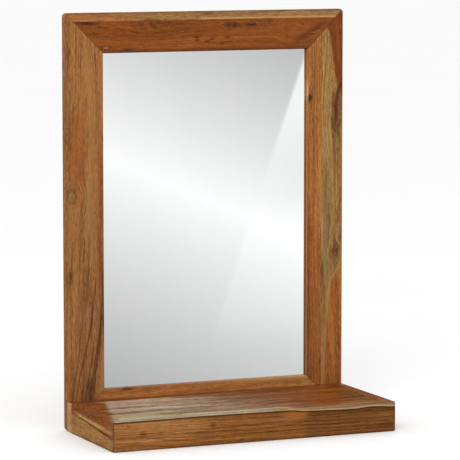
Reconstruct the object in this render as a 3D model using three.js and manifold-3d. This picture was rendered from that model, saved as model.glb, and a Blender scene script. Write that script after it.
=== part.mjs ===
// Wall mirror in a mitred wooden frame, with a boxed shelf across its foot.
// Millimetres. +X is the viewer's right, -Y faces the viewer, +Z is up. The pieces are modelled with the
// wall at y = 0, and the last group moves them so that the origin is under the middle of the whole object.
import * as THREE from "three";
import { mergeVertices } from "three/addons/utils/BufferGeometryUtils.js";
import Module from "manifold-3d";

const wasm = await Module();
wasm.setup();

// ---------------------------------------------------------------- driving dimensions

// Frame
const FRAME_WIDTH = 400;
const FRAME_HEIGHT = 550;
const MEMBER_WIDTH = 53; // face width of the stiles and rails
const FRAME_CORNER_RADIUS = 5;
const FRAME_ROUNDOVER = 1.6; // softened edges, front and back

// What the frame holds, from its front face to the wall
const GLASS_SETBACK = 6; // front face of the frame to the glass
const GLASS_THICKNESS = 3;
const GLASS_LAP = 6; // glass hidden behind the frame on each side
const PANEL_THICKNESS = 3;
const PANEL_MARGIN = 12; // back panel beyond the edge of the glass
const PANEL_RECESS = 1; // back panel below the frame's back face

// Biscuits across the frame's mitres
const BISCUIT_LENGTH = 47;
const BISCUIT_WIDTH = 15;
const BISCUIT_THICKNESS = 4;

// Shelf
const SHELF_REACH = 167; // in front of the frame
const SHELF_HEIGHT = 39;
const SHELF_BOARD = 15; // thickness of all five boards
const SHELF_CORNER_RADIUS = 4;
const SHELF_ROUNDOVER = 1.6;
const TONGUE_DROP = 5; // top of the shelf to the tongue round its top board
const TONGUE_THICKNESS = 5;
const TONGUE_REACH = 5;
const SPLINE_THICKNESS = 3;
const SPLINE_WIDTH = 8; // across the mitre
const SPLINE_FROM_INSIDE = 9; // along the mitre, from the shelf's inner corner
const SPLINE_END_MARGIN = 4; // wood above and below a spline
const DOWEL_RADIUS = 3;
const DOWEL_IN_RAIL = 10;
const DOWEL_IN_END = 14;
const DOWEL_ABOVE_EDGE = 8; // lowest dowel above the boards' lower edge
const DOWEL_SPACING = 11;
const DOWELS_PER_END = 2;

// Keyhole hanger plates
const PLATE_LENGTH = 52;
const PLATE_WIDTH = 18;
const PLATE_THICKNESS = 1.5;
const PLATE_FROM_TOP = 80; // top of the frame to the middle of a plate
const KEYHOLE_ENTRY_RADIUS = 4.75; // lets the head of a wall screw in
const KEYHOLE_SLOT_RADIUS = 2.5; // takes the neck of that screw
const KEYHOLE_TRAVEL = 11; // middle of the entry up to the middle of the slot's end
const KEYHOLE_HEADROOM = 5; // pocket behind the plate for the screw's head
const KEYHOLE_SIDE_ROOM = 1.2; // pocket beyond the keyhole's edge
const PLATE_SCREW_INSET = 6.5; // plate's end to its screw

// Screws: radius of head and shank, height of the countersunk head, overall length
const SMALL_SCREW = { head: 2.8, shank: 1.4, cone: 1.5, length: 10 };
const SHELF_SCREW = { head: 3.5, shank: 1.8, cone: 2, length: 25 };
const SCREW_HEAD_RIM = 0.3; // upright edge of a countersunk head
const SCREW_TIP = 3; // length of a screw's point
const PANEL_SCREWS_UP = 3; // on each upright edge of the back panel
const PANEL_SCREWS_ACROSS = 2; // on each level edge
const PANEL_SCREW_CORNER = 45; // corner of the panel to the nearest screw along an upright edge
const PANEL_SCREW_ACROSS_CORNER = 85; // and along a level edge
const SHELF_SCREWS = 4;
const SHELF_SCREW_INSET = 45; // end of the bottom rail to the nearest shelf screw

// Clearances
const GLUE_LINE = 0.2; // between glued or clamped faces
const FIT_GAP = 0.3; // round a piece in its slot, groove, rebate or hole
const SCREW_SINK = 0.3; // screw heads below the face round them

// Steps in a round edge, a corner's quarter circle and a full turn
const ROUNDOVER_STEPS = 3;
const CORNER_STEPS = 4;
const TURN_STEPS = 16;

// ---------------------------------------------------------------- derived places

const frameDepth = GLASS_SETBACK + GLASS_THICKNESS + PANEL_THICKNESS + PANEL_RECESS;
const frameFront = -frameDepth;
const openingWidth = FRAME_WIDTH - 2 * MEMBER_WIDTH;
const openingHeight = FRAME_HEIGHT - 2 * MEMBER_WIDTH;
const glassWidth = openingWidth + 2 * GLASS_LAP;
const glassHeight = openingHeight + 2 * GLASS_LAP;
const glassFront = frameFront + GLASS_SETBACK;
const glassBack = glassFront + GLASS_THICKNESS;
const panelWidth = glassWidth + 2 * PANEL_MARGIN;
const panelHeight = glassHeight + 2 * PANEL_MARGIN;
const panelBack = glassBack + PANEL_THICKNESS;
const frameMiddle = FRAME_HEIGHT / 2;

const shelfBack = frameFront - GLUE_LINE;
const shelfFront = frameFront - SHELF_REACH;
const backRailFront = shelfBack - SHELF_BOARD;
const shelfInsideWidth = FRAME_WIDTH - 2 * SHELF_BOARD;
const shelfInsideFront = shelfFront + SHELF_BOARD;
const hollowTop = SHELF_HEIGHT - SHELF_BOARD; // underside of the top board
const tongueTop = SHELF_HEIGHT - TONGUE_DROP;
const tongueBottom = tongueTop - TONGUE_THICKNESS;

// ---------------------------------------------------------------- solids

// A closed geometry as a solid that can be joined and cut.
function solid(geometry) {
  const bare = geometry.clone();
  bare.deleteAttribute("normal");
  bare.deleteAttribute("uv");
  const merged = mergeVertices(bare, 1e-4);
  return new wasm.Manifold(
    new wasm.Mesh({
      numProp: 3,
      vertProperties: merged.attributes.position.array,
      triVerts: new Uint32Array(merged.index.array),
    }),
  );
}

// A solid as a geometry with flat faces.
function geometryOf(body) {
  const { vertProperties, triVerts } = body.getMesh();
  const shared = new THREE.BufferGeometry();
  shared.setAttribute("position", new THREE.BufferAttribute(vertProperties, 3));
  shared.setIndex(new THREE.BufferAttribute(triVerts, 1));
  const flat = shared.toNonIndexed();
  flat.computeVertexNormals();
  return flat;
}

// A box between two corners.
function block([x0, y0, z0], [x1, y1, z1]) {
  const box = new THREE.BoxGeometry(x1 - x0, y1 - y0, z1 - z0);
  return box.translate((x0 + x1) / 2, (y0 + y1) / 2, (z0 + z1) / 2);
}

// An outline in x and y, raised from z = 0, with softened edges where a roundover is given.
function raised(outline, height, roundover = 0) {
  const settings = { depth: height - 2 * roundover, curveSegments: CORNER_STEPS, bevelEnabled: roundover > 0 };
  if (roundover > 0) {
    settings.bevelSize = roundover;
    settings.bevelThickness = roundover;
    settings.bevelOffset = -roundover;
    settings.bevelSegments = ROUNDOVER_STEPS;
  }
  return new THREE.ExtrudeGeometry(outline, settings).translate(0, 0, roundover);
}

// An outline in x and z, as a plate whose back face lies at y = 0 and whose front is at y = -depth.
function upright(outline, depth, roundover = 0) {
  return raised(outline, depth, roundover).rotateX(Math.PI / 2);
}

function polygon(points) {
  return new THREE.Shape(points.map(([x, y]) => new THREE.Vector2(x, y)));
}

// A rectangle with each corner rounded by its own radius, anticlockwise from lower left.
function roundedRectangle(x0, y0, x1, y1, radii) {
  const turn = Math.PI / 2;
  const corners = [
    [x0, y0, 1, 1],
    [x1, y0, -1, 1],
    [x1, y1, -1, -1],
    [x0, y1, 1, -1],
  ];
  const outline = new THREE.Shape();
  corners.forEach(([x, y, inX, inY], i) => {
    const radius = radii[i];
    const start = Math.PI + i * turn;
    if (radius > 0) outline.absarc(x + inX * radius, y + inY * radius, radius, start, start + turn);
    else if (i === 0) outline.moveTo(x, y);
    else outline.lineTo(x, y);
  });
  outline.closePath();
  return outline;
}

// A slot with half-round ends along z, centred on the origin of the outline's plane.
function stadium(width, length) {
  const radius = width / 2;
  const reach = length / 2 - radius;
  const outline = new THREE.Shape();
  outline.absarc(0, reach, radius, 0, Math.PI);
  outline.absarc(0, -reach, radius, Math.PI, 2 * Math.PI);
  outline.closePath();
  return outline;
}

// Two equal arcs that meet in points, as long along x as it says.
function lens(length, width) {
  const radius = (length ** 2 + width ** 2) / (4 * width);
  const drop = radius - width / 2;
  const half = Math.asin(length / 2 / radius);
  const outline = new THREE.Shape();
  outline.absarc(0, -drop, radius, Math.PI / 2 - half, Math.PI / 2 + half);
  outline.absarc(0, drop, radius, -Math.PI / 2 - half, -Math.PI / 2 + half);
  outline.closePath();
  return outline;
}

// ---------------------------------------------------------------- finishes and meshes

const FINISHES = {
  rail: { color: 0x8b5230, roughness: 0.42, metalness: 0 },
  stile: { color: 0xa5713f, roughness: 0.42, metalness: 0 },
  lip: { color: 0x9a6436, roughness: 0.4, metalness: 0 },
  shelfTop: { color: 0x80482a, roughness: 0.32, metalness: 0 },
  sapwood: { color: 0xc09560, roughness: 0.45, metalness: 0 },
  beech: { color: 0xcfae80, roughness: 0.7, metalness: 0 },
  mirror: { color: 0xe9edee, roughness: 0.03, metalness: 1 },
  panel: { color: 0x6e5238, roughness: 0.8, metalness: 0 },
  zinc: { color: 0xb9bcbe, roughness: 0.35, metalness: 0.9 },
};

function piece(name, geometry, finish) {
  const mesh = new THREE.Mesh(geometry, new THREE.MeshStandardMaterial(FINISHES[finish]));
  mesh.name = name;
  return mesh;
}

// ---------------------------------------------------------------- screws, dowels

// A countersunk screw, driven along -y from the origin. Grown, it is the hole that the screw needs.
function screwGeometry({ head, shank, cone, length }, grow = 0) {
  const mouth = grow > 0 ? SCREW_SINK + FIT_GAP : 0;
  const side = [
    [0, -length - grow],
    [shank + grow, -length + SCREW_TIP - grow],
    [shank + grow, -cone],
    [head + grow, -SCREW_HEAD_RIM],
    [head + grow, mouth],
    [0, mouth],
  ];
  return new THREE.LatheGeometry(side.map(([r, y]) => new THREE.Vector2(r, y)), TURN_STEPS);
}

// A screw's place: in the plane of the face that it is driven into.
function driven(spec, x, face, z) {
  return { spec, x, y: face - SCREW_SINK, z };
}

function screwHole({ spec, x, y, z }) {
  return solid(screwGeometry(spec, FIT_GAP).translate(x, y, z));
}

function screwMesh(name, { spec, x, y, z }) {
  const mesh = piece(name, screwGeometry(spec), "zinc");
  mesh.position.set(x, y, z);
  return mesh;
}

function dowelGeometry(grow = 0) {
  const length = DOWEL_IN_RAIL + DOWEL_IN_END + 2 * grow;
  return new THREE.CylinderGeometry(DOWEL_RADIUS + grow, DOWEL_RADIUS + grow, length, TURN_STEPS);
}

// ---------------------------------------------------------------- frame

// The glued frame before it is taken apart: one ring, softened all round in one pass, with a step at the
// back for the glass and a wider step for the panel.
function frameRing() {
  const half = FRAME_WIDTH / 2;
  const radii = [0, 1, 2, 3].map(() => FRAME_CORNER_RADIUS);
  const outline = roundedRectangle(-half, 0, half, FRAME_HEIGHT, radii);
  const [x, z] = [openingWidth / 2, openingHeight / 2];
  outline.holes.push(roundedRectangle(-x, frameMiddle - z, x, frameMiddle + z, [0, 0, 0, 0]));
  return solid(upright(outline, frameDepth, FRAME_ROUNDOVER))
    .subtract(rebate(glassWidth, glassHeight, glassFront - GLUE_LINE))
    .subtract(rebate(panelWidth, panelHeight, glassBack));
}

// The space behind y = floor for a sheet of this size, with clearance round it.
function rebate(width, height, floor) {
  const [x, z] = [width / 2 + FIT_GAP, height / 2 + FIT_GAP];
  return solid(block([-x, floor, frameMiddle - z], [x, FIT_GAP, frameMiddle + z]));
}

// The frame's corners, anticlockwise from lower left, each with the way from it into the frame.
const FRAME_CORNERS = [
  { x: -FRAME_WIDTH / 2, z: 0, inX: 1, inZ: 1 },
  { x: FRAME_WIDTH / 2, z: 0, inX: -1, inZ: 1 },
  { x: FRAME_WIDTH / 2, z: FRAME_HEIGHT, inX: -1, inZ: -1 },
  { x: -FRAME_WIDTH / 2, z: FRAME_HEIGHT, inX: 1, inZ: -1 },
];

// The member between a corner and the next, as the part of the ring between its two mitres.
function betweenMitres(ring, start, end) {
  const along = new THREE.Vector2(end.x - start.x, end.z - start.z).normalize();
  const shift = GLUE_LINE / Math.SQRT2;
  const at = (corner, depth, way) => [
    corner.x + corner.inX * depth + along.x * shift * way,
    corner.z + corner.inZ * depth + along.y * shift * way,
  ];
  const spare = FIT_GAP;
  const wedge = polygon([
    at(start, -spare, 1),
    at(end, -spare, -1),
    at(end, MEMBER_WIDTH + spare, -1),
    at(start, MEMBER_WIDTH + spare, 1),
  ]);
  return ring.intersect(solid(upright(wedge, frameDepth + 2 * spare).translate(0, spare, 0)));
}

// A biscuit lies half-way through the wood in front of the panel's step, along the mitre.
const biscuitInset = (MEMBER_WIDTH - GLASS_LAP) / 2;
const biscuitBack = frameFront + (GLASS_SETBACK + GLASS_THICKNESS + BISCUIT_THICKNESS) / 2;

function biscuitPlace({ x, z, inX, inZ }) {
  const place = new THREE.Group();
  place.position.set(x + inX * biscuitInset, biscuitBack, z + inZ * biscuitInset);
  place.rotation.y = (-inX * inZ * Math.PI) / 4;
  return place;
}

function biscuitGeometry(grow = 0) {
  const outline = lens(BISCUIT_LENGTH + 4 * grow, BISCUIT_WIDTH + 2 * grow);
  return upright(outline, BISCUIT_THICKNESS + 2 * grow).translate(0, grow, 0);
}

function biscuitSlot(corner) {
  const place = biscuitPlace(corner);
  place.updateMatrix();
  return solid(biscuitGeometry(FIT_GAP).applyMatrix4(place.matrix));
}

function buildFrame(screws, pockets) {
  const group = new THREE.Group();
  const ring = FRAME_CORNERS.reduce((body, corner) => body.subtract(biscuitSlot(corner)), frameRing());
  const cut = [...screws.map(screwHole), ...pockets].reduce((body, hole) => body.subtract(hole), ring);
  const members = [
    ["bottom_rail", "rail"],
    ["right_stile", "stile"],
    ["top_rail", "rail"],
    ["left_stile", "stile"],
  ];
  members.forEach(([name, finish], i) => {
    const member = betweenMitres(cut, FRAME_CORNERS[i], FRAME_CORNERS[(i + 1) % FRAME_CORNERS.length]);
    group.add(piece(name, geometryOf(member), finish));
  });
  FRAME_CORNERS.forEach((corner, i) => {
    const place = biscuitPlace(corner);
    place.add(piece(`biscuit_${i + 1}`, biscuitGeometry(), "beech"));
    group.add(place);
  });
  return group;
}

// ---------------------------------------------------------------- mirror and back panel

// Places spread evenly between two ends.
function spread(count, first, last) {
  return Array.from({ length: count }, (_, i) => first + ((last - first) * i) / Math.max(count - 1, 1));
}

function panelScrews() {
  const [x, z] = [(panelWidth - PANEL_MARGIN) / 2, (panelHeight - PANEL_MARGIN) / 2];
  const up = panelHeight / 2 - PANEL_SCREW_CORNER;
  const across = panelWidth / 2 - PANEL_SCREW_ACROSS_CORNER;
  const places = [];
  for (const side of [-1, 1]) {
    for (const dz of spread(PANEL_SCREWS_UP, -up, up)) places.push([side * x, dz]);
    for (const dx of spread(PANEL_SCREWS_ACROSS, -across, across)) places.push([dx, side * z]);
  }
  return places.map(([dx, dz]) => driven(SMALL_SCREW, dx, panelBack, frameMiddle + dz));
}

function buildMirror(screws) {
  const group = new THREE.Group();
  const pane = block([-glassWidth / 2, 0, -glassHeight / 2], [glassWidth / 2, GLASS_THICKNESS - GLUE_LINE, glassHeight / 2]);
  const mirror = piece("mirror_pane", pane, "mirror");
  mirror.position.set(0, glassFront, frameMiddle);
  const sheet = solid(
    block(
      [-panelWidth / 2, glassBack + GLUE_LINE, frameMiddle - panelHeight / 2],
      [panelWidth / 2, panelBack, frameMiddle + panelHeight / 2],
    ),
  );
  const panel = screws.map(screwHole).reduce((body, hole) => body.subtract(hole), sheet);
  group.add(mirror, piece("back_panel", geometryOf(panel), "panel"));
  screws.forEach((screw, i) => group.add(screwMesh(`panel_screw_${i + 1}`, screw)));
  return group;
}

// ---------------------------------------------------------------- keyhole hangers

// The plates sit midway across the stiles' full thickness, outside the panel's step.
const plateX = (FRAME_WIDTH / 2 + panelWidth / 2 + FIT_GAP) / 2;
const plateZ = FRAME_HEIGHT - PLATE_FROM_TOP;
const plateScrewReach = PLATE_LENGTH / 2 - PLATE_SCREW_INSET;

// Entry hole below, slot above, grown on all sides where the pocket behind is meant.
function keyhole(grow = 0) {
  const entry = KEYHOLE_ENTRY_RADIUS + grow;
  const slot = KEYHOLE_SLOT_RADIUS + grow;
  const half = KEYHOLE_TRAVEL / 2;
  const open = Math.acos(slot / entry);
  const outline = new THREE.Path();
  outline.absarc(0, half, slot, 0, Math.PI);
  outline.absarc(0, -half, entry, Math.PI - open, 2 * Math.PI + open);
  outline.closePath();
  return outline;
}

function plateScrews(side) {
  return [-1, 1].map((way) => driven(SMALL_SCREW, side * plateX, 0, plateZ + way * plateScrewReach));
}

// What is routed out of a stile for its plate: the plate's own bed, and room for a screw's head behind it.
function hangerPocket(side) {
  const bed = upright(stadium(PLATE_WIDTH + 2 * FIT_GAP, PLATE_LENGTH + 2 * FIT_GAP), PLATE_THICKNESS + 2 * FIT_GAP);
  const roomWidth = 2 * (KEYHOLE_ENTRY_RADIUS + KEYHOLE_SIDE_ROOM);
  const room = upright(stadium(roomWidth, KEYHOLE_TRAVEL + roomWidth), PLATE_THICKNESS + KEYHOLE_HEADROOM + FIT_GAP);
  const pocket = solid(bed.translate(0, FIT_GAP, 0)).add(solid(room.translate(0, FIT_GAP, 0)));
  return solid(geometryOf(pocket).translate(side * plateX, 0, plateZ));
}

function buildHanger(name, side, screws, firstScrew) {
  const group = new THREE.Group();
  const outline = stadium(PLATE_WIDTH, PLATE_LENGTH);
  outline.holes.push(keyhole());
  const blank = solid(upright(outline, PLATE_THICKNESS).translate(side * plateX, 0, plateZ));
  const plate = screws.map(screwHole).reduce((body, hole) => body.subtract(hole), blank);
  group.add(piece(name, geometryOf(plate), "zinc"));
  screws.forEach((screw, i) => group.add(screwMesh(`hanger_screw_${firstScrew + i}`, screw)));
  return group;
}

// ---------------------------------------------------------------- shelf

// The shelf's four upright boards before they are taken apart: a ring with rounded front corners and
// softened edges, grooved inside for the top board's tongue, and flat at the back.
function shelfRing() {
  const half = FRAME_WIDTH / 2;
  const spare = SHELF_ROUNDOVER + FIT_GAP;
  const radii = [SHELF_CORNER_RADIUS, SHELF_CORNER_RADIUS, 0, 0];
  const outline = roundedRectangle(-half, shelfFront, half, shelfBack + spare, radii);
  return solid(raised(outline, SHELF_HEIGHT, SHELF_ROUNDOVER))
    .subtract(solid(block([-half - spare, shelfBack, -spare], [half + spare, shelfBack + 2 * spare, SHELF_HEIGHT + spare])))
    .subtract(solid(insideBlock(0, -spare, SHELF_HEIGHT + spare)))
    .subtract(solid(insideBlock(TONGUE_REACH + FIT_GAP, tongueBottom - FIT_GAP, tongueTop + FIT_GAP)));
}

// The space between the upright boards from one height to another, wider all round by a reach.
function insideBlock(reach, bottom, top) {
  const x = shelfInsideWidth / 2 + reach;
  return block([-x, shelfInsideFront - reach, bottom], [x, backRailFront + reach, top]);
}

function buildTopBoard() {
  const board = solid(insideBlock(-GLUE_LINE, hollowTop, SHELF_HEIGHT));
  const tongue = solid(insideBlock(TONGUE_REACH, tongueBottom, tongueTop));
  return piece("shelf_top_board", geometryOf(board.add(tongue)), "shelfTop");
}

// The upright boards in plan: the front board between its mitres, the ends from mitre to back rail.
function boardPlans() {
  const half = FRAME_WIDTH / 2;
  const spare = FIT_GAP;
  const shift = GLUE_LINE / Math.SQRT2;
  const [outerY, innerY] = [shelfFront - spare, shelfInsideFront + spare];
  const [outerX, innerX] = [half + spare, half - SHELF_BOARD - spare];
  const endPlan = (side) =>
    [
      [outerX, outerY + shift],
      [outerX, backRailFront - GLUE_LINE],
      [innerX, backRailFront - GLUE_LINE],
      [innerX, innerY + shift],
    ].map(([x, y]) => [side * x, y]);
  return {
    shelf_front_board: [
      [-outerX + shift, outerY],
      [outerX - shift, outerY],
      [innerX - shift, innerY],
      [-innerX + shift, innerY],
    ],
    shelf_right_end: endPlan(1),
    shelf_left_end: endPlan(-1).reverse(),
    shelf_back_rail: [
      [-outerX, backRailFront],
      [outerX, backRailFront],
      [outerX, shelfBack + spare],
      [-outerX, shelfBack + spare],
    ],
  };
}

// A spline stands in the mitre, square to it, below the groove for the tongue.
function splinePlace(side) {
  const inset = SHELF_BOARD - SPLINE_FROM_INSIDE / Math.SQRT2;
  const place = new THREE.Group();
  place.position.set(side * (FRAME_WIDTH / 2 - inset), shelfFront + inset, SPLINE_END_MARGIN);
  place.rotation.z = (side * Math.PI) / 4;
  return place;
}

function splineGeometry(grow = 0) {
  const [x, y] = [SPLINE_WIDTH / 2 + grow, SPLINE_THICKNESS / 2 + grow];
  return block([-x, -y, -grow], [x, y, tongueBottom - 2 * SPLINE_END_MARGIN + grow]);
}

function splineSlot(side) {
  const place = splinePlace(side);
  place.updateMatrix();
  return solid(splineGeometry(FIT_GAP).applyMatrix4(place.matrix));
}

function dowelPlaces() {
  const x = (FRAME_WIDTH - SHELF_BOARD) / 2;
  const y = backRailFront + (DOWEL_IN_RAIL - DOWEL_IN_END) / 2;
  const heights = Array.from({ length: DOWELS_PER_END }, (_, i) => DOWEL_ABOVE_EDGE + i * DOWEL_SPACING);
  return [-1, 1].flatMap((side) => heights.map((z) => [side * x, y, z]));
}

function shelfScrews() {
  const x = FRAME_WIDTH / 2 - SHELF_SCREW_INSET;
  return spread(SHELF_SCREWS, -x, x).map((at) => driven(SHELF_SCREW, at, 0, SHELF_HEIGHT / 2));
}

function buildShelf(screws) {
  const group = new THREE.Group();
  const dowels = dowelPlaces();
  const holes = [
    ...[-1, 1].map(splineSlot),
    ...dowels.map((at) => solid(dowelGeometry(FIT_GAP).translate(...at))),
    ...screws.map(screwHole),
  ];
  const ring = holes.reduce((body, hole) => body.subtract(hole), shelfRing());
  const finishes = {
    shelf_front_board: "lip",
    shelf_right_end: "lip",
    shelf_left_end: "lip",
    shelf_back_rail: "sapwood",
  };
  for (const [name, plan] of Object.entries(boardPlans())) {
    const slice = solid(raised(polygon(plan), SHELF_HEIGHT + 2 * FIT_GAP).translate(0, 0, -FIT_GAP));
    group.add(piece(name, geometryOf(ring.intersect(slice)), finishes[name]));
  }
  group.add(buildTopBoard());
  [-1, 1].forEach((side) => {
    const place = splinePlace(side);
    place.add(piece(`shelf_spline_${side < 0 ? "left" : "right"}`, splineGeometry(), "beech"));
    group.add(place);
  });
  dowels.forEach((at, i) => {
    const dowel = piece(`dowel_${i + 1}`, dowelGeometry(), "beech");
    dowel.position.set(...at);
    group.add(dowel);
  });
  screws.forEach((screw, i) => group.add(screwMesh(`shelf_screw_${i + 1}`, screw)));
  return group;
}

// ---------------------------------------------------------------- assembly

const inPanel = panelScrews();
const inShelf = shelfScrews();
const inLeftPlate = plateScrews(-1);
const inRightPlate = plateScrews(1);

const assembly = new THREE.Group();
assembly.add(
  buildFrame([...inPanel, ...inShelf, ...inLeftPlate, ...inRightPlate], [hangerPocket(-1), hangerPocket(1)]),
  buildMirror(inPanel),
  buildHanger("hanger_plate_left", -1, inLeftPlate, 1),
  buildHanger("hanger_plate_right", 1, inRightPlate, 1 + inLeftPlate.length),
  buildShelf(inShelf),
);
assembly.position.y = (frameDepth + SHELF_REACH) / 2;

const mirrorWithShelf = new THREE.Group();
mirrorWithShelf.add(assembly);

export default mirrorWithShelf;
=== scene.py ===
"""A wall mirror in a mitred hardwood frame with a boxed shelf at its foot, dressed for a studio picture."""
import math

import bmesh
import bpy
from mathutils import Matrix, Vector


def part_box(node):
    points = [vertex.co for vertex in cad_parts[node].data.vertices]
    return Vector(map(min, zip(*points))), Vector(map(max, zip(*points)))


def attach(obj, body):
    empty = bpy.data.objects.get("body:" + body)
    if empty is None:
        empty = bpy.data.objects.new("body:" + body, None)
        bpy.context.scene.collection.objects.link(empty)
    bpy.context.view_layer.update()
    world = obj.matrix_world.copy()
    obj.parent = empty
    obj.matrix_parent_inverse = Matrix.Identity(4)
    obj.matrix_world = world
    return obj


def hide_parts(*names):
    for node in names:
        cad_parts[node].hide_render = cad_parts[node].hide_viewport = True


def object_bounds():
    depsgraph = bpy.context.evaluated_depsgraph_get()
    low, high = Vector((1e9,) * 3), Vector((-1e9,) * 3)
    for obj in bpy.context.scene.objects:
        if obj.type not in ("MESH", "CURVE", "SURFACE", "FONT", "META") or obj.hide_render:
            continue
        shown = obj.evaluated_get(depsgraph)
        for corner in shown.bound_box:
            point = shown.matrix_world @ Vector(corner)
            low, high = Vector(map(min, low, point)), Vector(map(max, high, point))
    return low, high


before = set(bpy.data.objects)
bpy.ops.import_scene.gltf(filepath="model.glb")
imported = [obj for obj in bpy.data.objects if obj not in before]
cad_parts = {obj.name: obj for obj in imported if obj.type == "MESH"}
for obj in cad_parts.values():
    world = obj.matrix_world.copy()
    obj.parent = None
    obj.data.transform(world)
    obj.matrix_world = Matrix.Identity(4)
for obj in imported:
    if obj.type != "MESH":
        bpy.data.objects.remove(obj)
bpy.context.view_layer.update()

# Places on the object, read off its solids, in metres.
OUTER_LOW, OUTER_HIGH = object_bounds()
LEFT_SIDE, RIGHT_SIDE = OUTER_LOW.x, OUTER_HIGH.x
SHELF_FRONT, FRAME_TOP = OUTER_LOW.y, OUTER_HIGH.z
SHELF_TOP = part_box("shelf_front_board")[1].z
FRAME_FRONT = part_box("top_rail")[0].y
MEMBER_WIDTH = FRAME_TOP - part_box("top_rail")[0].z
OPENING_LEFT, OPENING_RIGHT = LEFT_SIDE + MEMBER_WIDTH, RIGHT_SIDE - MEMBER_WIDTH
OPENING_FOOT, OPENING_HEAD = MEMBER_WIDTH, FRAME_TOP - MEMBER_WIDTH
MIRROR_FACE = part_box("mirror_pane")[0].y

# The boards' sizes in whole millimetres, for marking out the grain on their faces.
MM = 1000.0
FRAME_WIDE, FRAME_TALL = round((RIGHT_SIDE - LEFT_SIDE) * MM), round(FRAME_TOP * MM)
MEMBER_WIDE = round(MEMBER_WIDTH * MM)
SHELF_DEEP, SHELF_TALL = round((FRAME_FRONT - SHELF_FRONT) * MM), round(SHELF_TOP * MM)


def srgb(red, green, blue):
    """A colour given from 0 to 255, as linear light."""
    levels = (level / 255 for level in (red, green, blue))
    return (*(v / 12.92 if v <= 0.04045 else ((v + 0.055) / 1.055) ** 2.4 for v in levels), 1.0)


# ---------------------------------------------------------------- shader arithmetic


class Field:
    """A socket that takes part in arithmetic: each operator adds its Math node."""

    def __init__(self, finish, socket):
        self.finish, self.socket = finish, socket

    def math(self, operation, *terms):
        return self.finish.node("ShaderNodeMath", {"operation": operation}, dict(enumerate(terms)))

    def __add__(self, other):
        return self.math("ADD", self, other)

    def __sub__(self, other):
        return self.math("SUBTRACT", self, other)

    def __rsub__(self, other):
        return self.math("SUBTRACT", other, self)

    def __mul__(self, other):
        return self.math("MULTIPLY", self, other)

    def __truediv__(self, other):
        return self.math("DIVIDE", self, other)

    def __rtruediv__(self, other):
        return self.math("DIVIDE", other, self)

    def __pow__(self, other):
        return self.math("POWER", self, other)

    def __rpow__(self, other):
        return self.math("POWER", other, self)

    def __neg__(self):
        return self * -1

    def __abs__(self):
        return self.math("ABSOLUTE", self)

    __radd__ = __add__
    __rmul__ = __mul__

    def larger(self, other):
        return self.math("MAXIMUM", self, other)

    def over(self, limit):
        """1 above the limit and 0 below it, with a hard edge."""
        return self.math("GREATER_THAN", self, limit)

    def ramped(self, low, high):
        """0 at low and 1 at high, with soft ends; low may be the larger."""
        settings = {"interpolation_type": "SMOOTHSTEP"}
        inputs = {"Value": self, "From Min": low, "From Max": high}
        return self.finish.node("ShaderNodeMapRange", settings, inputs)

    def hump(self):
        """1 at zero, falling off on both sides like a bell."""
        return math.e ** -(self * self)


class NodeTree:
    """The nodes of a material or of the world."""

    def __init__(self, tree, coordinates="Object"):
        self.tree = tree
        place = self.node("ShaderNodeTexCoord", output=coordinates)
        self.place = [self.node("ShaderNodeSeparateXYZ", inputs={0: place}, output=i) for i in range(3)]

    def node(self, kind, settings=None, inputs=None, output=0):
        """Adds one node: its settings first, then the values or links of its sockets."""
        made = self.tree.nodes.new(kind)
        for name, value in (settings or {}).items():
            if name == "stops":
                self.fill_ramp(made.color_ramp, value)
            else:
                setattr(made, name, value)
        for name, value in (inputs or {}).items():
            self.plug(made.inputs[name], value)
        return Field(self, made.outputs[output])

    def fill_ramp(self, ramp, stops):
        while len(ramp.elements) < len(stops):
            ramp.elements.new(1.0)
        for element, (position, colour) in zip(ramp.elements, stops):
            element.position, element.color = position, colour

    def plug(self, socket, value):
        if isinstance(value, Field):
            self.tree.links.new(value.socket, socket)
        else:
            socket.default_value = value

    def noise(self, x, y, z, detail=2.0, roughness=0.5):
        """Smooth noise about 0.5 with features one unit long."""
        spot = self.node("ShaderNodeCombineXYZ", inputs={0: x, 1: y, 2: z})
        inputs = {"Vector": spot, "Scale": 1.0, "Detail": detail, "Roughness": roughness}
        return self.node("ShaderNodeTexNoise", inputs=inputs)

    def ramp(self, field, stops):
        return self.node("ShaderNodeValToRGB", {"stops": stops}, {0: field})

    def blend(self, factor, first, second, blend_type="MIX"):
        settings = {"data_type": "RGBA", "blend_type": blend_type}
        return self.node("ShaderNodeMix", settings, {0: factor, 6: first, 7: second}, output=2)

    def bump(self, height, distance):
        """A normal from a height of 0 to 1 that stands for this many metres."""
        return self.node("ShaderNodeBump", inputs={"Height": height, "Distance": distance, "Strength": 1.0})


class Finish(NodeTree):
    """A material and the nodes in front of its Principled shader."""

    def __init__(self, name):
        self.material = bpy.data.materials.new(name)
        self.material.use_nodes = True
        super().__init__(self.material.node_tree)
        self.shader = self.tree.nodes["Principled BSDF"]

    def surface(self, **inputs):
        """Sets or links the shader's own sockets, such as Base_Color."""
        for name, value in inputs.items():
            self.plug(self.shader.inputs[name.replace("_", " ")], value)
        return self.material


# ---------------------------------------------------------------- wood

# What the studio does to a face's own colour: it multiplies it, and the gloss adds a little.
FRONT_LIGHT, LIP_LIGHT, TOP_LIGHT, END_LIGHT = (1.14, 0.011), (1.0, 0.003), (1.02, 0.003), (0.93, 0.005)
DARK_KNOT, RED_KNOT, GREY_KNOT = srgb(58, 36, 22), srgb(88, 38, 20), srgb(112, 96, 58)
DARK_EDGE, GLASS_SHADOW, PORE_BROWN = srgb(52, 30, 15), srgb(30, 16, 8), srgb(66, 38, 18)
# How light the wood is at tones from 0 to 1, as shares of its middle colour.
TONE_STEPS = ((0.0, 0.32), (0.25, 0.64), (0.5, 1.0), (0.75, 1.34), (1.0, 1.75))
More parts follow.
